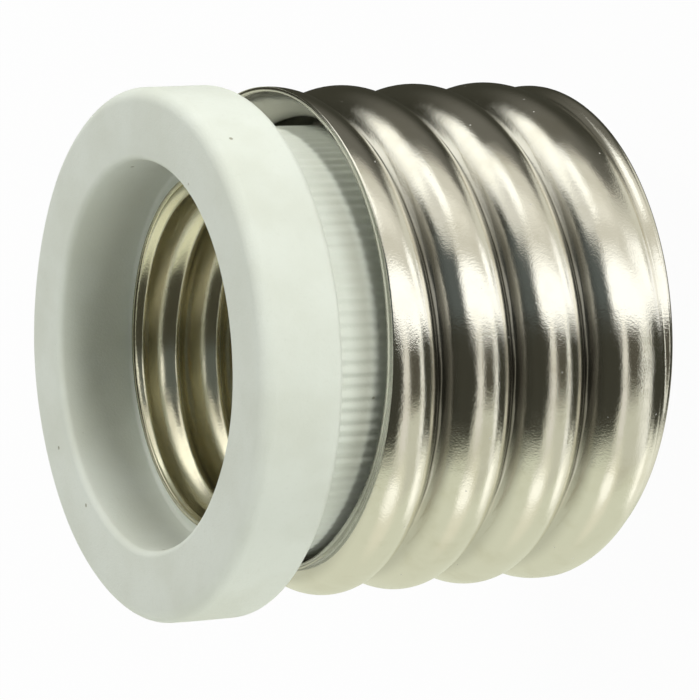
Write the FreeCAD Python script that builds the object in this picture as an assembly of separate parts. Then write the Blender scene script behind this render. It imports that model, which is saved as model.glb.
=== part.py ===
import FreeCAD, Part
import math
import os

# Adapter that screws into a large lamp holder and takes a bulb with a smaller screw cap.
# It stands on its base contact with its mouth up. The origin is the middle of the contact's underside.
# +X is the side towards which the barrel and the cap sit off the ring's centre, and -Y is the side
# seen best.
# All sizes are in millimetres.

# Large screw cap, drawn from one sheet, with a knuckle thread
cap_pitch = 6.35
cap_crest_radius = 19.75
cap_thread_depth = 2.0
cap_root_arc = 0.3
cap_sheet = 0.4
cap_length = 25.4
cap_shoulder_width = 2.7
cap_shoulder_height = 2.4
cap_runout_length = 3.6
cap_runout_share = 0.6
cap_thread_start = 0.978

# Small screw shell inside, drawn from one sheet
socket_pitch = 3.629
socket_crest_radius = 13.35
socket_thread_depth = 0.85
socket_root_arc = 0.1
socket_sheet = 0.3
socket_shoulder_width = 1.9
socket_shoulder_height = 1.9
socket_thread_start = 0.33
socket_opening_radius = 8.2
socket_lip_flare = 0.2
socket_lip_height = 0.9
socket_lip_depth = 5.9

# Porcelain body: front ring, ribbed barrel, deep cavity and floor
ring_radius = 20.5
ring_thickness = 6.7
ring_front_rounding = 1.1
ring_back_rounding = 0.8
cap_edge_depth = 11.1
mouth_radius = 14.98
mouth_rounding = 0.55
shelf_depth = 6.3
barrel_offset = 0.5
barrel_clearance = 0.65
rib_count = 115
rib_depth = 0.28
rib_land = 0.5
rib_length = 9.0
cavity_clearance = 0.2
floor_thickness = 5.6
island_radius = 7.0
island_height = 1.2
body_foot_clearance = 0.3
body_foot_chamfer = 1.5

# Base insulator and base contact
insulator_height = 5.5
insulator_top_radius = 12.6
insulator_band = 1.2
insulator_bottom_radius = 9.2
collar_radius = 7.3
collar_clearance = 0.3
contact_radius = 8.4
contact_sheet = 0.6
contact_wall_height = 2.0
contact_rounding = 0.9
contact_clearance = 0.1
dimple_radius = 2.2
dimple_depth = 1.2

# Contact tongue, a bent leaf held loosely at its foot
tongue_thickness = 0.5
tongue_width = 4.2
tongue_foot_offset = 4.0
tongue_foot_run = 2.2
tongue_rise = 3.2
tongue_slope = 50.0
tongue_curl_length = 2.3
tongue_curl_drop = 18.0
tongue_bend_radius = 1.1
tongue_travel = 9.0
tongue_foot_gap = 0.3

# Rivets
contact_rivet_radius = 1.1
contact_rivet_head_radius = 1.9
contact_rivet_head_height = 0.8
contact_rivet_tail_radius = 1.8
contact_rivet_tail_height = 0.7
shell_rivet_count = 2
shell_rivet_circle = 9.9
shell_rivet_radius = 0.9
shell_rivet_head_radius = 1.5
shell_rivet_head_height = 0.8
rivet_clearance = 0.15

# Levels, counted up from the underside of the base contact
insulator_floor_z = contact_sheet
cap_back_z = insulator_floor_z + insulator_height
cap_front_z = cap_back_z + cap_length
front_z = cap_front_z + cap_edge_depth
body_bottom_z = cap_back_z + cap_sheet
body_floor_z = body_bottom_z + floor_thickness
socket_floor_z = body_floor_z + socket_sheet
island_z = socket_floor_z + island_height
lip_z = front_z - socket_lip_depth
ring_back_z = front_z - ring_thickness
hinge_z = island_z + tongue_foot_gap + tongue_thickness / 2

# Radii that follow from what fits in what
rib_crest_radius = cap_crest_radius - cap_thread_depth - cap_sheet - barrel_clearance
core_radius = rib_crest_radius - rib_depth
body_foot_radius = min(core_radius - body_foot_chamfer,
                       cap_crest_radius - cap_shoulder_width - body_foot_clearance)
socket_ridge_arc = socket_root_arc + socket_sheet
socket_lip_radius = socket_crest_radius + socket_lip_flare
cavity_radius = socket_lip_radius + socket_sheet + cavity_clearance
cap_opening_radius = collar_radius + barrel_offset + collar_clearance

# Density of the poles that carry a threaded sheet
poles_around = 48
rows_per_turn = 20
shoulder_rows = 10

up = FreeCAD.Vector(0, 0, 1)


def vec(x, y, z):
    return FreeCAD.Vector(x, y, z)


def cylinder(radius, low, high, x=0.0, y=0.0):
    """upright cylinder between two levels"""
    return Part.makeCylinder(radius, high - low, vec(x, y, low), up)


def rounded_outline(corners):
    """closed outline in the XZ plane; each corner is (radius, level, rounding)"""
    joints = []
    count = len(corners)
    for k, (r, z, rounding) in enumerate(corners):
        here = vec(r, 0, z)
        if rounding <= 0:
            joints.append((here, here, here))
            continue
        before = vec(corners[k - 1][0], 0, corners[k - 1][1]) - here
        after = vec(corners[(k + 1) % count][0], 0, corners[(k + 1) % count][1]) - here
        room = 0.49 * min(before.Length, after.Length)
        before.normalize()
        after.normalize()
        half = before.getAngle(after) / 2
        setback = min(rounding / math.tan(half), room)
        bisector = before + after
        bisector.normalize()
        reach = setback / math.cos(half) - setback * math.tan(half)
        joints.append((here + before * setback, here + bisector * reach, here + after * setback))
    edges = []
    for k, (start, middle, end) in enumerate(joints):
        if (start - end).Length > 1e-6:
            edges.append(Part.Arc(start, middle, end).toShape())
        following = joints[(k + 1) % count][0]
        if (end - following).Length > 1e-6:
            edges.append(Part.LineSegment(end, following).toShape())
    return Part.Wire(edges)


def turned(corners):
    """solid of revolution about Z of a rounded outline"""
    return Part.Face(rounded_outline(corners)).revolve(vec(0, 0, 0), up, 360)


def knuckle(turns, pitch, crest, depth, root_arc, offset):
    """radius of a knuckle thread: a wide arc over the crest and a small one in the root, tangent
    to each other. turns counts pitches from a crest; offset moves the surface outwards by its
    own normal."""
    both_arcs = (depth ** 2 + pitch ** 2 / 4) / (2 * depth)
    wide = both_arcs - root_arc
    along = abs(turns - round(turns)) * pitch
    tangent = pitch / 2 * (wide + offset) / both_arcs
    if along <= tangent:
        return crest - wide + math.sqrt((wide + offset) ** 2 - along ** 2)
    return crest - depth + root_arc - math.sqrt((root_arc - offset) ** 2 - (pitch / 2 - along) ** 2)


def soft_min(a, b, softness):
    """the smaller of two values, with the change from one to the other rounded"""
    return (a + b - math.sqrt((a - b) ** 2 + softness ** 2)) / 2


def threaded_sheet(pitch, crest, depth, root_arc, thickness, front, back, width, height, start, opening,
                   runout=None, lip=None):
    """drawn sheet shell: thread from the front level, a rounded shoulder, then a flat inward flange.
    The reference surface has the given sizes; the other surface lies thickness outside it, or
    inside it where thickness is negative. runout is (length, share): over that length before the
    shoulder the thread's roots rise by that share of its depth. lip is (radius, height) of a
    belled front edge."""
    centre_z = back + height
    thread_rows = max(8, int(round((front - centre_z) / pitch * rows_per_turn)))
    last_row = thread_rows + shoulder_rows

    def point(angle, row, offset):
        if row <= thread_rows:
            z = front - (front - centre_z) * row / thread_rows
        else:
            swing = (row - thread_rows) / shoulder_rows * math.pi / 2
            z = centre_z - (height + offset) * math.sin(swing)
        turns = (front - z) / pitch + angle / (2 * math.pi) + start
        r = knuckle(turns, pitch, crest, depth, root_arc, offset)
        if runout:
            fade = min(max((centre_z + runout[0] - z) / runout[0], 0), 1)
            r += (crest + offset - r) * fade * fade * (3 - 2 * fade) * runout[1]
        if row > thread_rows:
            shoulder = crest - width + (width + offset) * math.cos(swing)
            r = soft_min(r, shoulder, 0.5 * abs(math.sin(2 * swing)))
        if lip:
            bell = lip[0] + offset - depth * ((front - z) / lip[1]) ** 2
            r = -soft_min(-r, -bell, 0.2)
        return vec(r * math.cos(angle), r * math.sin(angle), z)

    def surface(offset):
        """cubic surface, closed around the axis, whose poles are the points less a share of
        their second differences, so that it passes through the points"""
        rows = [0, 1 / 3] + list(range(1, last_row)) + [last_row - 1 / 3, last_row]
        step = 2 * math.pi / poles_around
        poles = []
        for row in rows:
            share = 0 if row in (0, last_row) else 1 / 6 if row == int(row) else 1 / 18
            line = []
            for k in range(poles_around):
                angle = k * step
                here = point(angle, row, offset)
                around = point(angle - step, row, offset) + point(angle + step, row, offset) - here * 2
                along = point(angle, row - 1, offset) + point(angle, row + 1, offset) - here * 2
                line.append(here - around / 6 - along * share)
            poles.append(line)
        columns = [[poles[j][k] for j in range(len(rows))] for k in range(poles_around)]
        inner_rows = len(rows) - 4
        result = Part.BSplineSurface()
        result.buildFromPolesMultsKnots(
            columns,
            [1] * (poles_around + 1),
            [4] + [1] * inner_rows + [4],
            [float(k) for k in range(poles_around + 1)],
            [float(k) for k in range(inner_rows + 2)],
            True,
            False,
            3,
            3,
        )
        return result.toShape()

    def rim(face, level):
        """closed end edge of a surface at one level"""
        for edge in face.Edges:
            box = edge.BoundBox
            if abs(box.ZMin - level) < 1e-4 and abs(box.ZMax - level) < 1e-4:
                return Part.Wire([edge])

    def ring(outer_wire, inner_wire):
        return Part.makeFace([outer_wire, inner_wire], "Part::FaceMakerBullseye")

    reference = surface(0.0)
    other = surface(thickness)
    outside, inside = (reference, other) if thickness < 0 else (other, reference)
    low = min(back, back - thickness)
    high = max(back, back - thickness)
    faces = [outside, inside]
    faces.append(ring(rim(outside, front), rim(inside, front)))
    for face, level in ((outside, low), (inside, high)):
        hole = Part.Wire([Part.makeCircle(opening, vec(0, 0, level), up)])
        faces.append(ring(rim(face, level), hole))
    faces.append(cylinder(opening, low, high).Faces[0])
    shell = Part.Shell(faces)
    shell.sewShape()
    solid = Part.Solid(shell)
    if solid.Volume < 0:
        solid.reverse()
    return solid


def rivet_places(count, circle):
    """rivets spaced evenly on a circle, the first on +Y"""
    places = []
    for k in range(count):
        angle = math.pi / 2 + 2 * math.pi * k / count
        places.append((circle * math.cos(angle), circle * math.sin(angle)))
    return places


shell_rivets_at = rivet_places(shell_rivet_count, shell_rivet_circle)
foot_x = -tongue_foot_offset


def shell_rivet_holes(low, high, radius):
    return [cylinder(radius, low, high, x, y) for x, y in shell_rivets_at]


def porcelain_body():
    """one moulding: ring, mouth and cavity turned about the main axis, and around the cavity the
    barrel with its foot and raised ribs, turned about the cap's axis"""
    barrel_inside = (cavity_radius + core_radius) / 2
    barrel = turned([
        (0, body_bottom_z, 0),
        (body_foot_radius, body_bottom_z, 0.4),
        (core_radius, body_bottom_z + cap_shoulder_height - cap_sheet, 0.6),
        (core_radius, ring_back_z, 0),
        (barrel_inside, ring_back_z, 0),
        (barrel_inside, body_floor_z - floor_thickness / 8, 0),
        (0, body_floor_z - floor_thickness / 8, 0),
    ])
    corners = []
    for k in range(rib_count):
        for share, radius in ((0, core_radius), (0.5 - rib_land / 2, rib_crest_radius),
                              (0.5 + rib_land / 2, rib_crest_radius), (0.92, core_radius)):
            angle = 2 * math.pi * (k + share) / rib_count
            corners.append(vec(radius * math.cos(angle), radius * math.sin(angle), ring_back_z - rib_length))
    outer = Part.makePolygon(corners + [corners[0]])
    under_ribs = core_radius - rib_depth
    inner = Part.Wire([Part.makeCircle(under_ribs, vec(0, 0, ring_back_z - rib_length), up)])
    ribs = Part.makeFace([outer, inner], "Part::FaceMakerBullseye").extrude(vec(0, 0, rib_length))
    barrel = barrel.fuse(ribs)
    barrel.translate(vec(barrel_offset, 0, 0))
    lining_radius = core_radius - barrel_offset
    lining_low = body_floor_z - floor_thickness / 4
    body = turned([
        (0, lining_low, 0),
        (lining_radius, lining_low, 0),
        (lining_radius, ring_back_z, 0),
        (ring_radius, ring_back_z, ring_back_rounding),
        (ring_radius, front_z, ring_front_rounding),
        (mouth_radius, front_z, mouth_rounding),
        (mouth_radius, front_z - shelf_depth, 0.3),
        (cavity_radius, front_z - shelf_depth, 0.15),
        (cavity_radius, body_floor_z, 0.3),
        (island_radius, body_floor_z, 0),
        (island_radius, island_z, 0.3),
        (0, island_z, 0),
    ])
    body = body.fuse(barrel)
    rivet_hole = contact_rivet_radius + rivet_clearance
    body = body.cut(cylinder(rivet_hole, body_bottom_z - 1, island_z + 1, foot_x))
    for hole in shell_rivet_holes(body_bottom_z - 1, body_floor_z + 1, shell_rivet_radius + rivet_clearance):
        body = body.cut(hole)
    return body.removeSplitter()


def outer_screw_shell():
    """large cap on the barrel's axis, with rivet holes where the rivets stand"""
    shell = threaded_sheet(cap_pitch, cap_crest_radius, cap_thread_depth, cap_root_arc, -cap_sheet,
                           cap_front_z, cap_back_z, cap_shoulder_width, cap_shoulder_height,
                           cap_thread_start, cap_opening_radius,
                           runout=(cap_runout_length, cap_runout_share))
    shell.translate(vec(barrel_offset, 0, 0))
    for hole in shell_rivet_holes(cap_back_z - 1, body_bottom_z + 1, shell_rivet_radius + rivet_clearance):
        shell = shell.cut(hole)
    return shell


def inner_screw_shell():
    """small shell with a belled lip; its flange lies on the porcelain floor"""
    shell = threaded_sheet(socket_pitch, socket_crest_radius, socket_thread_depth, socket_ridge_arc,
                           socket_sheet, lip_z, socket_floor_z, socket_shoulder_width,
                           socket_shoulder_height, socket_thread_start, socket_opening_radius,
                           lip=(socket_lip_radius, socket_lip_height))
    for hole in shell_rivet_holes(body_floor_z - 1, socket_floor_z + 1, shell_rivet_radius + rivet_clearance):
        shell = shell.cut(hole)
    return shell


def base_insulator():
    """porcelain cone under the cap, with a collar in the cap's opening and a boss for the contact"""
    boss_radius = contact_radius - contact_sheet - contact_clearance
    step_z = contact_wall_height + contact_clearance
    body = turned([
        (0, insulator_floor_z, 0),
        (boss_radius, insulator_floor_z, contact_rounding),
        (boss_radius, step_z, 0),
        (insulator_bottom_radius, step_z, 0.5),
        (insulator_top_radius, cap_back_z - insulator_band, 0.8),
        (insulator_top_radius, cap_back_z, 0.4),
        (collar_radius, cap_back_z, 0),
        (collar_radius, body_bottom_z, 0),
        (0, body_bottom_z, 0),
    ])
    rivet_hole = contact_rivet_radius + rivet_clearance
    body = body.cut(cylinder(rivet_hole, 0, body_bottom_z + 1, foot_x))
    pocket_top = dimple_depth + contact_sheet
    body = body.cut(cylinder(dimple_radius + contact_sheet + contact_clearance, 0, pocket_top, foot_x))
    pocket_floor = cap_back_z - shell_rivet_head_height - rivet_clearance
    for hole in shell_rivet_holes(pocket_floor, cap_back_z + 1, shell_rivet_head_radius + rivet_clearance):
        body = body.cut(hole)
    return body


def base_contact():
    """shallow pressed pan with a dimple that sinks the rivet's tail"""
    inner_radius = contact_radius - contact_sheet
    pan = turned([
        (0, 0, 0),
        (contact_radius, 0, contact_rounding + contact_sheet),
        (contact_radius, contact_wall_height, 0),
        (inner_radius, contact_wall_height, 0),
        (inner_radius, contact_sheet, contact_rounding),
        (0, contact_sheet, 0),
    ])
    pan = pan.fuse(cylinder(dimple_radius + contact_sheet, 0, dimple_depth + contact_sheet, foot_x))
    pan = pan.cut(cylinder(dimple_radius, -1, dimple_depth, foot_x))
    rivet_hole = contact_rivet_radius + rivet_clearance
    pan = pan.cut(cylinder(rivet_hole, 0, dimple_depth + contact_sheet + 1, foot_x))
    return pan.removeSplitter()


def contact_rivet():
    """rivet through the tongue's foot, the floor, the insulator and the dimple"""
    head_z = island_z + 2 * tongue_foot_gap + tongue_thickness
    rivet = turned([
        (0, dimple_depth - contact_rivet_tail_height, 0),
        (contact_rivet_tail_radius, dimple_depth - contact_rivet_tail_height, 0.3),
        (contact_rivet_tail_radius, dimple_depth, 0),
        (contact_rivet_radius, dimple_depth, 0),
        (contact_rivet_radius, head_z, 0),
        (contact_rivet_head_radius, head_z, 0),
        (contact_rivet_head_radius, head_z + contact_rivet_head_height, 0.6),
        (0, head_z + contact_rivet_head_height, 0),
    ])
    rivet.translate(vec(foot_x, 0, 0))
    return rivet


def shell_rivets():
    """rivets that clamp the small shell's flange, the porcelain floor and the cap's flange"""
    rivets = []
    for x, y in shell_rivets_at:
        rivet = turned([
            (0, cap_back_z - shell_rivet_head_height, 0),
            (shell_rivet_head_radius, cap_back_z - shell_rivet_head_height, 0.3),
            (shell_rivet_head_radius, cap_back_z, 0),
            (shell_rivet_radius, cap_back_z, 0),
            (shell_rivet_radius, socket_floor_z, 0),
            (shell_rivet_head_radius, socket_floor_z, 0),
            (shell_rivet_head_radius, socket_floor_z + shell_rivet_head_height, 0.5),
            (0, socket_floor_z + shell_rivet_head_height, 0),
        ])
        rivet.translate(vec(x, y, 0))
        rivets.append(rivet)
    return Part.makeCompound(rivets)


def contact_tongue():
    """leaf bent from one strip: flat foot, slope up to the middle, tip curled down.
    It is stored tilted up by half its travel about the foot's centre."""
    slope = math.radians(tongue_slope)
    drop = math.radians(tongue_curl_drop)
    top_x = tongue_foot_run + tongue_rise / math.tan(slope)
    half = tongue_thickness / 2
    path = [
        vec(-tongue_width / 2, 0, 0),
        vec(tongue_foot_run, 0, 0),
        vec(top_x, 0, tongue_rise),
        vec(top_x + tongue_curl_length * math.cos(drop), 0, tongue_rise - tongue_curl_length * math.sin(drop)),
    ]
    runs = [path[k + 1] - path[k] for k in range(3)]
    sides = []
    for side in (1, -1):
        corners = []
        for k, here in enumerate(path):
            before = runs[max(k - 1, 0)]
            after = runs[min(k, 2)]
            normal = vec(-before.z, 0, before.x).normalize() + vec(-after.z, 0, after.x).normalize()
            normal.normalize()
            turn = before.getAngle(after) / 2
            corner = here + normal * (side * half / math.cos(turn))
            inner_bend = (k == 1 and side > 0) or (k == 2 and side < 0)
            rounding = tongue_bend_radius + (-half if inner_bend else half)
            corners.append((corner.x, corner.z, rounding if k in (1, 2) else 0))
        sides.append(corners)
    outline = rounded_outline(sides[1] + sides[0][::-1])
    strip = Part.Face(outline).extrude(vec(0, tongue_width, 0))
    strip.translate(vec(0, -tongue_width / 2, 0))
    tip_x = path[3].x
    end_radius = tongue_width / 2
    low = -tongue_curl_length - tongue_rise
    high = tongue_rise + 2
    plan = cylinder(end_radius, low, high)
    plan = plan.fuse(cylinder(end_radius, low, high, tip_x - end_radius))
    middle = Part.makeBox(tip_x - end_radius, tongue_width, high - low, vec(0, -end_radius, low))
    leaf = strip.common(plan.fuse(middle))
    leaf = leaf.cut(cylinder(contact_rivet_radius + rivet_clearance, -1, 1))
    leaf.rotate(vec(0, 0, 0), vec(0, 1, 0), -tongue_travel / 2)
    leaf.translate(vec(foot_x, 0, hinge_z))
    return leaf


parts = {
    "porcelain_body": porcelain_body(),
    "outer_screw_shell": outer_screw_shell(),
    "inner_screw_shell": inner_screw_shell(),
    "base_insulator": base_insulator(),
    "base_contact": base_contact(),
    "contact_rivet": contact_rivet(),
    "shell_rivets": shell_rivets(),
    "contact_tongue": contact_tongue(),
}

os.makedirs("parts", exist_ok=True)
for name, shape in parts.items():
    shape.exportStep("parts/" + name + ".step")
    box = shape.BoundBox
    print(name, shape.isValid(), len(shape.Solids), round(shape.Volume, 1), "mm3",
          [round(v, 2) for v in (box.XMin, box.XMax, box.YMin, box.YMax, box.ZMin, box.ZMax)])
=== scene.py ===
import math

import bmesh
import bpy
import numpy as np
from mathutils import Matrix, Vector

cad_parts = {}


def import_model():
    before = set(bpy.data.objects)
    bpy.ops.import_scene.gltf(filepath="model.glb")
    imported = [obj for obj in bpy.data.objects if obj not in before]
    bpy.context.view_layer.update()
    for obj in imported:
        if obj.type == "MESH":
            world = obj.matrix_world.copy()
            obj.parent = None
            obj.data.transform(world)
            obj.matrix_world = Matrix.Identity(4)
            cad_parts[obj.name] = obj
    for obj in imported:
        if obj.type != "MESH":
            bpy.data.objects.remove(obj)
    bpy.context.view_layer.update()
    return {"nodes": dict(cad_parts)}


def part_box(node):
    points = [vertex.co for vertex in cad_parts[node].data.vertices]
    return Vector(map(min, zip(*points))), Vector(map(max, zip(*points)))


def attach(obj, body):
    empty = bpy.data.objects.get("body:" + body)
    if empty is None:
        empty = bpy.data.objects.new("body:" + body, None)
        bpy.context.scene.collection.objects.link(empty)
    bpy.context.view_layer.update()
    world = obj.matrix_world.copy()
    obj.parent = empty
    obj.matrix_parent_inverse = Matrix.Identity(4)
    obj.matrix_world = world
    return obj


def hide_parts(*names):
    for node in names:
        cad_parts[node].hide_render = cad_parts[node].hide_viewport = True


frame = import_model()

MM = 0.001
TAU = 2 * math.pi
rng = np.random.default_rng(11)


# Places and sizes, in millimetres

def levels(node):
    """lowest and highest corner of a node, in millimetres"""
    low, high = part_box(node)
    return np.array(low) / MM, np.array(high) / MM


body_low, body_high = levels("porcelain_body")
cap_low, cap_high = levels("outer_screw_shell")
socket_low, socket_high = levels("inner_screw_shell")

FACE_Z = body_high[2]
BODY_BOTTOM_Z = body_low[2]
CAP_FRONT_Z = cap_high[2]
CAP_BACK_Z = cap_low[2]
LIP_Z = socket_high[2]
BODY_FLOOR_Z = socket_low[2]

# Screw cap: the shoulder is its width and height, the run-out is its length and its share of the
# depth, the start is in turns, and the side is how far its axis lies from the ring's
CAP_PITCH = 6.35
CAP_CREST = 19.75
CAP_DEPTH = 2.0
CAP_ROOT_ARC = 0.3
CAP_SHEET = 0.4
CAP_SHOULDER = (2.7, 2.4)
CAP_RUNOUT = (3.6, 0.6)
CAP_START = 0.978
CAP_OPENING = 8.1
CAP_SIDE = 0.5

# Socket shell: the lip is the radius and the height of its bell
SOCKET_PITCH = 3.629
SOCKET_CREST = 13.35
SOCKET_DEPTH = 0.85
SOCKET_RIDGE_ARC = 0.4
SOCKET_SHEET = 0.3
SOCKET_SHOULDER = (1.9, 1.9)
SOCKET_START = 0.33
SOCKET_OPENING = 8.2
SOCKET_LIP = (13.55, 0.9)

# Porcelain body
RING_RADIUS = 20.5
RING_THICKNESS = 6.7
RING_FRONT_ROUNDING = 1.1
RING_BACK_ROUNDING = 0.8
MOUTH_RADIUS = 14.98
MOUTH_ROUNDING = 0.55
SHELF_DEPTH = 6.3
CORE_RADIUS = 16.42
RIB_COUNT = 115
RIB_DEPTH = 0.28
RIB_LENGTH = 9.0
CAVITY_RADIUS = 14.05
BODY_FOOT_RADIUS = 14.92
ISLAND_RADIUS = 7.0
ISLAND_HEIGHT = 1.5

# Fineness of the surfaces, and their unevenness. The front edge's height is a share of half the
# sheet, the ribs' unevenness is a share of their depth and their shift a share of their spacing.
ROWS_PER_TURN = 24
SHOULDER_ROWS = 22
FLANGE_STEPS = 8
EDGE_STEPS = 9
CAP_COLUMNS = 400
SOCKET_COLUMNS = 270
LONGEST_STEP = 2.2
FRONT_EDGE_HEIGHT = 0.55
CAP_EDGE_WAVER = 0.05
RIB_UNEVENNESS = 0.1
RIB_SHIFT = 0.03
POLE_DISTANCE = 1e-7


# Mesh building

def add_mesh(name, points, faces, body, material, replaces):
    """puts an array of points (mm) and an array of four-cornered faces into a mesh piece"""
    mesh = bpy.data.meshes.new(name)
    mesh.vertices.add(len(points))
    mesh.vertices.foreach_set("co", (points * MM).astype(np.float32).ravel())
    mesh.loops.add(faces.size)
    mesh.loops.foreach_set("vertex_index", faces.astype(np.int32).ravel())
    mesh.polygons.add(len(faces))
    mesh.polygons.foreach_set("loop_start", np.arange(0, faces.size, 4, dtype=np.int32))
    mesh.polygons.foreach_set("use_smooth", np.full(len(faces), True))
    mesh.update(calc_edges=True)
    mesh.validate()
    piece = bpy.data.objects.new(name, mesh)
    bpy.context.scene.collection.objects.link(piece)
    mesh.materials.append(material)
    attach(piece, body)
    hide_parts(*replaces)
    return piece


def loop_grid(count_around, count_along, closed_along=True):
    """faces of a grid of points that closes around the axis, and along the profile if asked;
    point (i, j) has index i * count_along + j"""
    i = np.arange(count_around)
    j = np.arange(count_along if closed_along else count_along - 1)
    ii, jj = np.meshgrid(i, j, indexing="ij")
    i2 = (ii + 1) % count_around
    j2 = (jj + 1) % count_along
    a = ii * count_along + jj
    b = i2 * count_along + jj
    c = i2 * count_along + j2
    d = ii * count_along + j2
    return np.stack([a, b, c, d], -1).reshape(-1, 4)


def knuckle(turns, pitch, crest, depth, root_arc, offset):
    """radius of a knuckle thread: a wide arc over the crest and a small one in the root, tangent
    to each other; offset moves the surface outwards by its own normal"""
    both_arcs = (depth ** 2 + pitch ** 2 / 4) / (2 * depth)
    wide = both_arcs - root_arc
    along = np.abs(turns - np.round(turns)) * pitch
    tangent = pitch / 2 * (wide + offset) / both_arcs
    over = np.sqrt(np.maximum((wide + offset) ** 2 - along ** 2, 0))
    under = np.sqrt(np.maximum((root_arc - offset) ** 2 - (pitch / 2 - along) ** 2, 0))
    return np.where(along <= tangent, crest - wide + over, crest - depth + root_arc - under)


def soft_min(a, b, softness):
    """the smaller of two values, with the change from one to the other rounded"""
    return (a + b - np.sqrt((a - b) ** 2 + softness ** 2)) / 2


def sheet_surface(angle, rows, pitch, crest, depth, root_arc, offset, front, back, width, height,
                  start, runout, lip):
    """points of one surface of a drawn shell. rows runs from 0 at the front edge through 1, where
    the shoulder starts, to 2, where the flat flange starts. Radius is the thread's, capped by a
    quarter ellipse on the shoulder and widened by the bell at the lip. Over the run-out's length
    before the shoulder the roots rise by its share of the depth."""
    centre_z = back + height
    swing = np.clip(rows - 1, 0, 1) * math.pi / 2
    z = np.where(rows <= 1, front - (front - centre_z) * rows, centre_z - (height + offset) * np.sin(swing))
    turns = (front - z) / pitch + angle / TAU + start
    r = knuckle(turns, pitch, crest, depth, root_arc, offset)
    if runout:
        fade = np.clip((centre_z + runout[0] - z) / runout[0], 0, 1)
        r = r + (crest + offset - r) * fade * fade * (3 - 2 * fade) * runout[1]
    shoulder = crest - width + (width + offset) * np.cos(swing)
    r = np.where(rows > 1, soft_min(r, shoulder, 0.5 * np.abs(np.sin(2 * swing))), r)
    if lip:
        bell = lip[0] + offset - depth * ((front - z) / lip[1]) ** 2
        r = -soft_min(-r, -bell, 0.2)
    return r, np.broadcast_to(z, r.shape)


def screw_shell(name, node, material, pitch, crest, depth, root_arc, thickness, front, back,
                shoulder, start, opening, around, runout=None, lip=None, side=0.0, waver=0.0):
    """closed sheet shell as one grid: down one surface, around the flange's inner edge, up the
    other surface and over the rounded front edge. thickness is positive where the second surface
    lies outside the first."""
    width, height = shoulder
    thread_rows = int(round((front - back - height) / pitch * ROWS_PER_TURN))
    rows = np.concatenate([np.linspace(0, 1, thread_rows, endpoint=False),
                           np.linspace(1, 2, SHOULDER_ROWS)])
    angle = np.linspace(0, TAU, around, endpoint=False)[:, None]
    first_r, first_z = sheet_surface(angle, rows[None, :], pitch, crest, depth, root_arc, 0.0,
                                     front, back, width, height, start, runout, lip)
    second_r, second_z = sheet_surface(angle, rows[None, ::-1], pitch, crest, depth, root_arc, thickness,
                                       front, back, width, height, start, runout, lip)
    half = abs(thickness) / 2
    middle_back = back - thickness / 2
    turn = np.linspace(0, math.pi, EDGE_STEPS)[1:-1]
    sign = 1 if thickness < 0 else -1
    edge_r = np.broadcast_to(opening + half - half * np.sin(turn), (around, turn.size))
    edge_z = np.broadcast_to(middle_back - sign * half * np.cos(turn), (around, turn.size))
    flat = np.linspace(0, 1, FLANGE_STEPS)[1:-1]
    start_r = crest - width
    flat_out_r = start_r + (opening + half - start_r) * flat
    flat_a = np.broadcast_to(flat_out_r, (around, flat.size))
    flat_b = flat_a[:, ::-1]
    z_first = np.full_like(flat_a, back)
    z_second = np.full_like(flat_a, back - thickness)
    rim_mid_r = (first_r[:, :1] + second_r[:, -1:]) / 2
    rim_half = (first_r[:, :1] - second_r[:, -1:]) / 2
    rim_r = rim_mid_r - rim_half * np.cos(turn)
    rim_z = front + np.abs(rim_half) * FRONT_EDGE_HEIGHT * np.sin(turn) - FRONT_EDGE_HEIGHT * half
    r = np.concatenate([first_r, flat_a, edge_r, flat_b, second_r, rim_r], 1)
    z = np.concatenate([first_z, z_first, edge_z, z_second, second_z, rim_z], 1)
    if waver:
        bend = waver * (np.sin(2 * angle + 0.7) + 0.6 * np.sin(3 * angle + 2.1) + 0.3 * np.sin(7 * angle))
        near_front = np.exp(-((front - z) / 2.0) ** 2)
        z = z + bend * near_front
    points = np.stack([r * np.cos(angle) + side, r * np.sin(angle), z], -1).reshape(-1, 3)
    faces = loop_grid(around, r.shape[1])
    if thickness > 0:
        faces = faces[:, ::-1]
    return add_mesh(name, points, faces, "adapter", material, [node])


def rounded_profile(corners, steps=8):
    """open outline of (radius, level) points; each corner is (radius, level, rounding) and its
    rounding is an arc tangent to both sides, cut into steps"""
    path = []
    for k, (r, z, rounding) in enumerate(corners):
        here = np.array([r, z])
        if rounding <= 0 or k in (0, len(corners) - 1):
            path.append(here)
            continue
        before = np.array(corners[k - 1][:2]) - here
        after = np.array(corners[k + 1][:2]) - here
        before_length = np.linalg.norm(before)
        after_length = np.linalg.norm(after)
        before = before / before_length
        after = after / after_length
        half = math.acos(np.clip(before @ after, -1, 1)) / 2
        setback = min(rounding / math.tan(half), 0.49 * before_length, 0.49 * after_length)
        radius = setback * math.tan(half)
        middle = before + after
        centre = here + middle / np.linalg.norm(middle) * radius / math.sin(half)
        first = here + before * setback - centre
        last = here + after * setback - centre
        sweep = math.pi - 2 * half
        for s in np.linspace(0, 1, steps + 1):
            turned = math.sin((1 - s) * sweep) * first + math.sin(s * sweep) * last
            path.append(centre + turned / math.sin(sweep))
    return np.array(path)


def split_long(path, longest):
    """adds evenly spaced points on the runs of a profile that are longer than longest"""
    out = [path[0]]
    for a, b in zip(path[:-1], path[1:]):
        pieces = max(1, int(math.ceil(np.linalg.norm(b - a) / longest)))
        out.extend(a + (b - a) * s / pieces for s in range(1, pieces + 1))
    return np.array(out)


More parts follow.
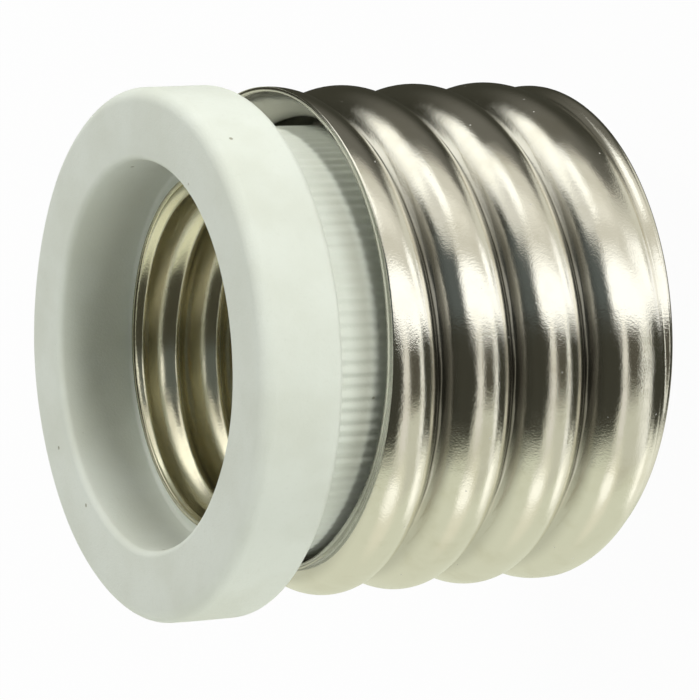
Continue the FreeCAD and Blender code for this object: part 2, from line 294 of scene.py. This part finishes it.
def porcelain_body(material):
    """lathe grid: the outline's radius, plus a rib at each of the barrel's rib angles, plus a slow
    unevenness of a few hundredths of a millimetre. The outline runs from the axis under the floor,
    up the outside, over the face, down the bore and back to the axis on the island. The foot and
    the barrel are moved sideways onto the cap's axis."""
    ring_back = FACE_Z - RING_THICKNESS
    rib_low = ring_back - RIB_LENGTH
    chamfer_top = BODY_BOTTOM_Z + CAP_SHOULDER[1] - CAP_SHEET
    island_z = BODY_FLOOR_Z + ISLAND_HEIGHT
    outline = rounded_profile([
        (0.0, BODY_BOTTOM_Z, 0),
        (BODY_FOOT_RADIUS, BODY_BOTTOM_Z, 0.4),
        (CORE_RADIUS, chamfer_top, 0.6),
        (CORE_RADIUS, rib_low - 0.3, 0),
        (CORE_RADIUS, rib_low, 0),
        (CORE_RADIUS, ring_back - 0.01, 0),
        (CORE_RADIUS + RIB_DEPTH + 0.1, ring_back, 0),
        (RING_RADIUS, ring_back, RING_BACK_ROUNDING),
        (RING_RADIUS, FACE_Z, RING_FRONT_ROUNDING),
        (MOUTH_RADIUS, FACE_Z, MOUTH_ROUNDING),
        (MOUTH_RADIUS, FACE_Z - SHELF_DEPTH, 0.3),
        (CAVITY_RADIUS, FACE_Z - SHELF_DEPTH, 0.15),
        (CAVITY_RADIUS, BODY_FLOOR_Z, 0.3),
        (ISLAND_RADIUS, BODY_FLOOR_Z, 0.1),
        (ISLAND_RADIUS, island_z, 0.3),
        (0.0, island_z, 0),
    ])
    outline = split_long(outline, LONGEST_STEP)
    radius, level = outline.T
    per_rib = np.array([0.0, 0.16, 0.33, 0.5, 0.67, 0.84])
    height_in_rib = np.array([0.5, 0.62, 0.88, 1.0, 0.88, 0.62])
    barrel = np.arange(len(outline)) <= np.argmax(radius > CORE_RADIUS + RIB_DEPTH)
    uneven = 1 + RIB_UNEVENNESS * rng.standard_normal(RIB_COUNT)
    shift = np.clip(RIB_SHIFT * rng.standard_normal(RIB_COUNT), -2 * RIB_SHIFT, 2 * RIB_SHIFT)
    place = np.arange(RIB_COUNT)[:, None] + per_rib + shift[:, None] * (per_rib > 0)
    angle = (place / RIB_COUNT).ravel() * TAU
    rib = (RIB_DEPTH * np.clip(uneven, 0.8, 1.05)[:, None] * height_in_rib).ravel()[:, None]
    on_ribs = (level > rib_low - 0.05) & (level < ring_back) & (np.abs(radius - CORE_RADIUS) < 0.01)
    a = angle[:, None]
    slow = 0.035 * np.sin(2 * a + 0.4 + 0.1 * level) + 0.022 * np.sin(3 * a + 1.9 - 0.2 * level)
    slow = slow + 0.012 * np.sin(9 * a + 0.9 * level) + 0.008 * np.sin(5 * a - 1.3 * radius) - 0.05
    outside = (level > ring_back - 1) & (radius > MOUTH_RADIUS - 0.5)
    r = radius + rib * on_ribs + slow * outside
    lift = 0.02 * np.sin(4 * a + 0.8) + 0.012 * np.sin(7 * a + 2.2 + radius) - 0.025
    z = level + lift * (outside & (level > FACE_Z - 2.5)) * np.clip((level - FACE_Z + 2.5) / 2.5, 0, 1)
    across = r * np.cos(a) + CAP_SIDE * barrel
    points = np.stack([across, r * np.sin(a), np.broadcast_to(z, r.shape)], -1).reshape(-1, 3)
    faces = loop_grid(angle.size, radius.size, closed_along=False)
    piece = add_mesh("porcelain", points, faces, "adapter", material, ["porcelain_body"])
    close_poles(piece)
    return piece


def close_poles(piece):
    """merges the points that meet on the axis, so that the lathe grid is one closed surface"""
    build = bmesh.new()
    build.from_mesh(piece.data)
    bmesh.ops.remove_doubles(build, verts=build.verts, dist=POLE_DISTANCE)
    build.to_mesh(piece.data)
    build.free()


# Materials

class Nodes:
    """small helper for a material's nodes: makes them, sets their values and links them"""

    def __init__(self, name):
        self.material = bpy.data.materials.new(name)
        self.material.use_nodes = True
        self.tree = self.material.node_tree
        self.tree.nodes.clear()
        self.output = self.add("ShaderNodeOutputMaterial")

    def add(self, kind, inputs=None, **settings):
        node = self.tree.nodes.new(kind)
        for key, value in settings.items():
            setattr(node, key, value)
        for key, value in (inputs or {}).items():
            if isinstance(value, bpy.types.NodeSocket):
                self.tree.links.new(value, node.inputs[key])
            else:
                node.inputs[key].default_value = value
        return node

    def math(self, operation, a, b=0.0):
        return self.add("ShaderNodeMath", {0: a, 1: b}, operation=operation).outputs[0]

    def span(self, value, low, high, to_low=0.0, to_high=1.0):
        """value between low and high, mapped smoothly"""
        node = self.add("ShaderNodeMapRange", {0: value, 1: low, 2: high, 3: to_low, 4: to_high})
        node.interpolation_type = "SMOOTHSTEP"
        return node.outputs[0]

    def mix(self, share, a, b):
        node = self.add("ShaderNodeMix", data_type="RGBA")
        for socket, value in (("Factor", share), ("A", a), ("B", b)):
            target = [s for s in node.inputs if s.name == socket and s.enabled][0]
            if isinstance(value, bpy.types.NodeSocket):
                self.tree.links.new(value, target)
            else:
                target.default_value = value
        return [s for s in node.outputs if s.enabled][0]

    def object_point(self, scale=(1, 1, 1)):
        """Object coordinates in millimetres, stretched by scale"""
        where = self.add("ShaderNodeTexCoord").outputs["Object"]
        stretched = self.add("ShaderNodeMapping", {"Vector": where})
        stretched.inputs["Scale"].default_value = [1000 * s for s in scale]
        return stretched.outputs[0]

    def noise(self, point, scale, detail=3.0, roughness=0.5):
        return self.add("ShaderNodeTexNoise", {"Vector": point, "Scale": scale, "Detail": detail,
                                               "Roughness": roughness}).outputs["Fac"]

    def finish(self, shader):
        self.tree.links.new(shader.outputs[0], self.output.inputs[0])
        return self.material


def colour(r, g, b):
    return (r, g, b, 1.0)


def porcelain_material():
    """off-white porcelain: slow clouding, a few tiny dark specks, slightly dull and dusty gloss, and
    a painted shade for the cap's shadow: grey on the barrel before the cap's edge, weaker at +X and -X"""
    n = Nodes("satin_porcelain")
    point = n.object_point()
    cloud = n.noise(point, 0.16, 3.0)
    base = n.mix(n.span(cloud, 0.35, 0.7), colour(0.80, 0.835, 0.755), colour(0.745, 0.775, 0.685))
    fine = n.noise(point, 2.6, 4.0, 0.6)
    base = n.mix(n.span(fine, 0.55, 0.85, 0.0, 0.35), base, colour(0.68, 0.70, 0.62))
    specks = n.add("ShaderNodeTexVoronoi", {"Vector": point, "Scale": 0.32}, feature="F1").outputs
    base = n.mix(n.span(specks["Distance"], 0.035, 0.06, 0.8, 0.0), base, colour(0.30, 0.29, 0.20))
    # painted shade standing in for the cap's shadow: the barrel turns grey (0.40, 0.40, 0.31) in a band
    # just before the cap's edge; it is weaker at the edge itself and towards the +X and -X sides
    parts = n.add("ShaderNodeSeparateXYZ", {0: point}).outputs
    aside = n.math("SUBTRACT", parts[0], CAP_SIDE)
    ring_radius = n.math("SQRT", n.math("ADD", n.math("MULTIPLY", aside, aside),
                                        n.math("MULTIPLY", parts[1], parts[1])))
    on_barrel = n.math("MULTIPLY", n.span(ring_radius, CORE_RADIUS + 0.5, CORE_RADIUS + 1.5, 1.0, 0.0),
                       n.span(ring_radius, CORE_RADIUS - 1.5, CORE_RADIUS - 0.8))
    cap_shade_above_edge = n.span(parts[2], CAP_FRONT_Z + 0.5, CAP_FRONT_Z + 2.1, 0.45, 0.0)
    cap_shade_at_edge = n.span(parts[2], CAP_FRONT_Z - 0.4, CAP_FRONT_Z + 0.5, 0.2, 1.0)
    cap_shade_high_side = n.span(parts[0], 6.0, 14.0, 1.0, 0.35)
    cap_shade_low_side = n.span(parts[0], -14.0, -6.0, 0.15, 1.0)
    painted_cap_shade = n.math("MULTIPLY", on_barrel, cap_shade_above_edge)
    for share in (cap_shade_at_edge, cap_shade_high_side, cap_shade_low_side):
        painted_cap_shade = n.math("MULTIPLY", painted_cap_shade, share)
    base = n.mix(painted_cap_shade, base, colour(0.40, 0.40, 0.31))
    grain = n.noise(point, 5.0, 5.0, 0.65)
    bump = n.add("ShaderNodeBump", {"Height": grain, "Strength": 0.25, "Distance": 0.00012})
    shader = n.add("ShaderNodeBsdfPrincipled", {
        "Base Color": base,
        "Roughness": n.span(fine, 0.3, 0.8, 0.42, 0.6),
        "Normal": bump.outputs[0],
        "Specular IOR Level": 0.4,
    })
    return n.finish(shader)


def nickel_material(name, tone, stain, roughness, root=None):
    """nickel plate on drawn sheet: lines along the drawing direction, pin pricks, grain in patches,
    faint stains and a little dust. root is (axis along X, radius inside which the root's painted
    shade and extra roughness are full, radius where they end), all in millimetres; the painted shade
    in the thread's root is strongest on the near side."""
    n = Nodes(name)
    point = n.object_point()
    rings = n.object_point((0.12, 0.12, 2.4))
    stains = n.noise(point, 0.22, 4.0, 0.6)
    base = n.mix(n.span(stains, 0.45, 0.8, 0.0, 0.7), tone, stain)
    dullness = n.span(stains, 0.3, 0.8, roughness, roughness * 1.6)
    lines = n.noise(rings, 1.0, 4.0, 0.6)
    pricks = n.noise(point, 6.0, 2.0, 0.6)
    patches = n.span(n.noise(point, 0.35, 2.0), 0.42, 0.62, 0.15, 0.9)
    grain = n.math("MULTIPLY", n.noise(point, 15.0, 1.0), patches)
    height = n.math("ADD", n.math("MULTIPLY", lines, 0.5), n.math("ADD", pricks, grain))
    if root:
        # painted shade standing in for the dark inside the thread's root: the colour is darkened towards
        # near-black (0.13, 0.125, 0.105), most on the near (-Y) side, and the roughness is raised as well
        across = n.add("ShaderNodeVectorMath", {0: point, 1: (-root[0], 0, 0)}, operation="ADD").outputs[0]
        flat = n.add("ShaderNodeVectorMath", {0: across, 1: (1, 1, 0)}, operation="MULTIPLY").outputs[0]
        radius = n.add("ShaderNodeVectorMath", {0: flat}, operation="LENGTH").outputs["Value"]
        near = n.span(n.add("ShaderNodeSeparateXYZ", {0: point}).outputs[1], -18.0, -11.0, 1.0, 0.3)
        share = n.math("MULTIPLY", n.span(radius, root[1], root[2], 0.9, 0.0), near)
        base = n.mix(share, base, colour(0.13, 0.125, 0.105))
        dullness = n.math("ADD", dullness, n.math("MULTIPLY", share, 0.12))
    bump = n.add("ShaderNodeBump", {"Height": height, "Strength": 0.17, "Distance": 0.00006})
    cells = n.add("ShaderNodeTexVoronoi", {"Vector": point, "Scale": 0.8}, feature="F1").outputs
    chance = n.add("ShaderNodeSeparateXYZ", {0: cells["Color"]}).outputs[0]
    dust = n.math("MULTIPLY", n.span(cells["Distance"], 0.04, 0.08, 0.8, 0.0), n.span(chance, 0.66, 0.7))
    base = n.mix(dust, base, colour(0.62, 0.61, 0.54))
    shader = n.add("ShaderNodeBsdfPrincipled", {
        "Base Color": base,
        "Metallic": n.math("SUBTRACT", 1.0, dust),
        "Roughness": dullness,
        "Normal": bump.outputs[0],
    })
    return n.finish(shader)


porcelain = porcelain_material()
cap_root = CAP_CREST - CAP_DEPTH
# the cap's thread root gets a painted shade through root, strongest on the near side
cap_nickel = nickel_material("cap_nickel", colour(0.81, 0.79, 0.73), colour(0.70, 0.67, 0.58), 0.10,
                             root=(CAP_SIDE, cap_root + 0.3, cap_root + 1.3))
socket_nickel = nickel_material("socket_nickel", colour(0.86, 0.82, 0.66), colour(0.76, 0.71, 0.53), 0.15)
contact_brass = nickel_material("contact_brass", colour(0.74, 0.60, 0.36), colour(0.55, 0.42, 0.22), 0.25)
rivet_metal = nickel_material("rivet_metal", colour(0.66, 0.64, 0.60), colour(0.48, 0.45, 0.38), 0.28)


# Pieces

screw_shell("screw_cap", "outer_screw_shell", cap_nickel, CAP_PITCH, CAP_CREST, CAP_DEPTH,
            CAP_ROOT_ARC, -CAP_SHEET, CAP_FRONT_Z, CAP_BACK_Z, CAP_SHOULDER, CAP_START, CAP_OPENING,
            CAP_COLUMNS, runout=CAP_RUNOUT, side=CAP_SIDE, waver=CAP_EDGE_WAVER)
screw_shell("socket_shell", "inner_screw_shell", socket_nickel, SOCKET_PITCH,
            SOCKET_CREST, SOCKET_DEPTH, SOCKET_RIDGE_ARC, SOCKET_SHEET, LIP_Z, BODY_FLOOR_Z + SOCKET_SHEET,
            SOCKET_SHOULDER, SOCKET_START, SOCKET_OPENING, SOCKET_COLUMNS, lip=SOCKET_LIP)
porcelain_body(porcelain)

for node, material in (("base_insulator", porcelain), ("base_contact", socket_nickel),
                       ("contact_rivet", rivet_metal), ("shell_rivets", rivet_metal),
                       ("contact_tongue", contact_brass)):
    mesh = frame["nodes"][node].data
    mesh.materials.clear()
    mesh.materials.append(material)


# Camera, placed as the photograph's: in front of the mouth, 28 degrees up and rolled onto its side

CAMERA_ANGLE = math.radians(61.695)
CAMERA_ROLL = math.radians(2.969)
CAMERA_DISTANCE = 335.3
PIXELS_PER_MM = 13.152
AIM_ACROSS = -15.944
AIM_UP = 0.063
PHOTO_WIDTH = 700
SENSOR_WIDTH = 36.0

toward = np.array([0.0, -math.sin(CAMERA_ANGLE), math.cos(CAMERA_ANGLE)])
picture_left = np.array([0.0, math.cos(CAMERA_ANGLE), math.sin(CAMERA_ANGLE)])
picture_up = np.array([1.0, 0.0, 0.0])
right_axis = -picture_left * math.cos(CAMERA_ROLL) - picture_up * math.sin(CAMERA_ROLL)
up_axis = -picture_left * math.sin(CAMERA_ROLL) + picture_up * math.cos(CAMERA_ROLL)
aim = np.array([CAP_SIDE, 0.0, FACE_Z])
eye = aim - AIM_ACROSS * right_axis - AIM_UP * up_axis + CAMERA_DISTANCE * toward
lens_data = bpy.data.cameras.new("camera")
lens_data.sensor_width = SENSOR_WIDTH
lens_data.lens = SENSOR_WIDTH * PIXELS_PER_MM * CAMERA_DISTANCE / PHOTO_WIDTH
lens_data.clip_start = 0.01
lens_data.clip_end = 20
camera = bpy.data.objects.new("camera", lens_data)
turn = Matrix([[right_axis[k], up_axis[k], toward[k]] for k in range(3)]).to_4x4()
camera.matrix_world = Matrix.Translation(Vector(eye * MM)) @ turn
bpy.context.scene.collection.objects.link(camera)
bpy.context.scene.camera = camera


# Studio: a dome that only reflections see, soft lamps, a white floor and a white background

DOME_RADIUS = 1.2
DOME_MIDDLE = np.array([0.0, 0.0, 0.025])
DOME_COLUMNS = 240
DOME_ROWS = 120
POLE_GAP = 0.005
EVEN_LIGHT = 0.27
FLOOR_REACH = 3.0
FLOOR_CAMERA_SHARE = 0.96
# Each patch: azimuth from the near side towards picture top, elevation towards the mouth, their
# half widths and its tilt in degrees, how square it is (2 is an ellipse), the width of its soft
# edge as a share of its half widths, and its colour
DARK = (0.050, 0.049, 0.036)
PATCHES = (
    (-120, -4, 66, 60, 0, 2.4, 0.25, (0.73, 0.75, 0.59)),
    (-54, -20, 24, 34, 0, 3.0, 0.2, (0.64, 0.64, 0.52)),
    (-118, -58, 50, 9, 0, 3.0, 0.5, (0.92, 0.92, 0.77)),
    (-80, -8, 26, 14, 0, 2.0, 0.8, (0.84, 0.83, 0.66)),
    (-14, -30, 18, 26, 0, 4.0, 0.3, (0.095, 0.088, 0.066)),
    (-26, -2, 28, 9, 0, 4.0, 0.4, (0.80, 0.78, 0.69)),
    (-32, -48, 42, 5, 0, 4.0, 0.5, (1.00, 1.00, 0.90)),
    (-74, -2, 9, 13, 0, 2.0, 0.6, (1.25, 1.25, 1.10)),
    (-92, -51, 18, 7, 0, 2.0, 0.6, (1.30, 1.30, 1.15)),
    (28, 54, 28, 30, 0, 4.0, 0.5, (0.105, 0.118, 0.112)),
    (70, -16, 52, 42, 0, 2.0, 0.7, (0.16, 0.155, 0.13)),
    (48, -18, 32, 42, 0, 2.4, 0.4, (0.74, 0.72, 0.62)),
    (52, -10, 8, 26, 0, 2.0, 0.6, (0.95, 0.93, 0.82)),
    (112, -63, 62, 10, 0, 4.0, 0.4, (0.72, 0.71, 0.60)),
    (14, -16, 15, 42, 0, 4.0, 0.4, (1.40, 1.40, 1.32)),
    (30, -62, 22, 12, 20, 3.0, 0.4, (1.40, 1.40, 1.32)),
    (92, -80, 80, 8, 0, 4.0, 0.4, (1.20, 1.20, 1.15)),
    (64, 10, 18, 12, 10, 2.5, 0.5, (1.40, 1.40, 1.30)),
    (56, 32, 20, 16, 30, 2.2, 0.5, (0.80, 0.79, 0.71)),
    (108, 56, 26, 11, 10, 2.2, 0.6, (0.78, 0.77, 0.70)),
    (92, 33, 25, 22, -12, 2.2, 0.6, (1.35, 1.35, 1.24)),
)


def dome_glow(points):
    """colour of the dome at unit directions: dark, with each patch laid over it through a soft edge"""
    azimuth = np.degrees(np.arctan2(points[:, 0], -points[:, 1]))
    elevation = np.degrees(np.arcsin(np.clip(points[:, 2], -1, 1)))
    glow = np.tile(np.array(DARK), (len(points), 1))
    for middle, height, half_width, half_height, tilt, squareness, soft, tint in PATCHES:
        aside = (azimuth - middle + 180) % 360 - 180
        above = elevation - height
        cosine, sine = math.cos(math.radians(tilt)), math.sin(math.radians(tilt))
        across = np.abs(aside * cosine + above * sine) / half_width
        along = np.abs(above * cosine - aside * sine) / half_height
        reach = (across ** squareness + along ** squareness) ** (1 / squareness)
        share = np.clip((1 + soft / 2 - reach) / soft, 0, 1)
        share = (share * share * (3 - 2 * share))[:, None]
        glow = glow * (1 - share) + np.array(tint) * share
    return glow


def dome():
    """sphere grid with its glow in a colour attribute; only reflections see it"""
    angle = np.linspace(0, TAU, DOME_COLUMNS, endpoint=False)[:, None]
    rise = np.linspace(-math.pi / 2 + POLE_GAP, math.pi / 2 - POLE_GAP, DOME_ROWS)[None, :]
    unit = np.stack([np.cos(rise) * np.cos(angle), np.cos(rise) * np.sin(angle),
                     np.broadcast_to(np.sin(rise), (DOME_COLUMNS, DOME_ROWS))], -1).reshape(-1, 3)
    faces = loop_grid(DOME_COLUMNS, DOME_ROWS, closed_along=False)
    mesh = bpy.data.meshes.new("studio_dome")
    mesh.from_pydata((unit * DOME_RADIUS + DOME_MIDDLE).tolist(), [], faces.tolist())
    attribute = mesh.color_attributes.new("glow", "FLOAT_COLOR", "POINT")
    shade = np.concatenate([dome_glow(unit), np.ones((len(unit), 1))], 1)
    attribute.data.foreach_set("color", shade.astype(np.float32).ravel())
    piece = bpy.data.objects.new("studio_dome", mesh)
    bpy.context.scene.collection.objects.link(piece)
    n = Nodes("studio_glow")
    glow = n.add("ShaderNodeAttribute", attribute_name="glow", attribute_type="GEOMETRY")
    light = n.add("ShaderNodeEmission", {"Color": glow.outputs["Color"], "Strength": 1.0})
    mesh.materials.append(n.finish(light))
    piece.visible_camera = False
    piece.visible_diffuse = False
    piece.visible_shadow = False
    piece.visible_transmission = False
    piece.visible_volume_scatter = False


def lamp(name, azimuth, elevation, distance, size, power, tint=(1, 1, 1)):
    """round soft lamp, aimed at the part from a direction in degrees; distance and size are in
    metres and power in watts. Reflections don't see it."""
    data = bpy.data.lights.new(name, "AREA")
    data.shape = "DISK"
    data.size = size
    data.energy = power
    data.color = tint
    light = bpy.data.objects.new(name, data)
    a, e = math.radians(azimuth), math.radians(elevation)
    way = Vector((math.sin(a) * math.cos(e), -math.cos(a) * math.cos(e), math.sin(e)))
    light.location = Vector(DOME_MIDDLE) + way * distance
    light.rotation_euler = way.to_track_quat("Z", "Y").to_euler()
    light.visible_glossy = False
    bpy.context.scene.collection.objects.link(light)


def floor():
    """wide plate under the part: white to the camera, with the part's shadow left on it"""
    n = Nodes("floor_white")
    path = n.add("ShaderNodeLightPath")
    paper = n.add("ShaderNodeBsdfDiffuse", {"Color": colour(0.85, 0.85, 0.84)})
    white = n.add("ShaderNodeEmission", {"Color": colour(1, 1, 1), "Strength": 1.0})
    share = n.math("MULTIPLY", path.outputs["Is Camera Ray"], FLOOR_CAMERA_SHARE)
    mixed = n.add("ShaderNodeMixShader", {0: share, 1: paper.outputs[0], 2: white.outputs[0]})
    mesh = bpy.data.meshes.new("floor")
    corners = [(-1, -1), (1, -1), (1, 1), (-1, 1)]
    mesh.from_pydata([(x * FLOOR_REACH, y * FLOOR_REACH, 0) for x, y in corners], [], [(0, 1, 2, 3)])
    mesh.materials.append(n.finish(mixed))
    piece = bpy.data.objects.new("floor", mesh)
    bpy.context.scene.collection.objects.link(piece)
    piece.visible_glossy = False


def world():
    """even light for surfaces; white behind everything for the camera and for reflections"""
    sky = bpy.data.worlds.new("studio")
    sky.use_nodes = True
    tree = sky.node_tree
    tree.nodes.clear()
    out = tree.nodes.new("ShaderNodeOutputWorld")
    path = tree.nodes.new("ShaderNodeLightPath")
    seen = tree.nodes.new("ShaderNodeMath")
    seen.operation = "MAXIMUM"
    tree.links.new(path.outputs["Is Camera Ray"], seen.inputs[0])
    mirrored = tree.nodes.new("ShaderNodeMath")
    mirrored.operation = "MAXIMUM"
    tree.links.new(path.outputs["Is Glossy Ray"], mirrored.inputs[0])
    tree.links.new(path.outputs["Is Transmission Ray"], mirrored.inputs[1])
    tree.links.new(mirrored.outputs[0], seen.inputs[1])
    even = tree.nodes.new("ShaderNodeBackground")
    even.inputs["Color"].default_value = colour(0.95, 0.98, 0.94)
    even.inputs["Strength"].default_value = EVEN_LIGHT
    white = tree.nodes.new("ShaderNodeBackground")
    white.inputs["Color"].default_value = colour(1, 1, 1)
    white.inputs["Strength"].default_value = 1.0
    mixed = tree.nodes.new("ShaderNodeMixShader")
    tree.links.new(seen.outputs[0], mixed.inputs[0])
    tree.links.new(even.outputs[0], mixed.inputs[1])
    tree.links.new(white.outputs[0], mixed.inputs[2])
    tree.links.new(mixed.outputs[0], out.inputs[0])
    bpy.context.scene.world = sky


dome()
lamp("key", 52, 2, 0.9, 0.24, 5.3, (1.0, 1.0, 0.97))
lamp("fill", -54, 3, 0.9, 0.24, 3.1, (0.98, 1.0, 0.95))
lamp("top_light", 98, 48, 0.9, 0.4, 2.8)
lamp("gap_light", 112, 3, 0.9, 0.24, 0.45)
lamp("low_light", -100, 44, 0.9, 0.4, 1.0)
lamp("back_light", 175, 28, 0.9, 0.5, 1.7)
floor()
world()

scene = bpy.context.scene
scene.view_settings.view_transform = "Standard"
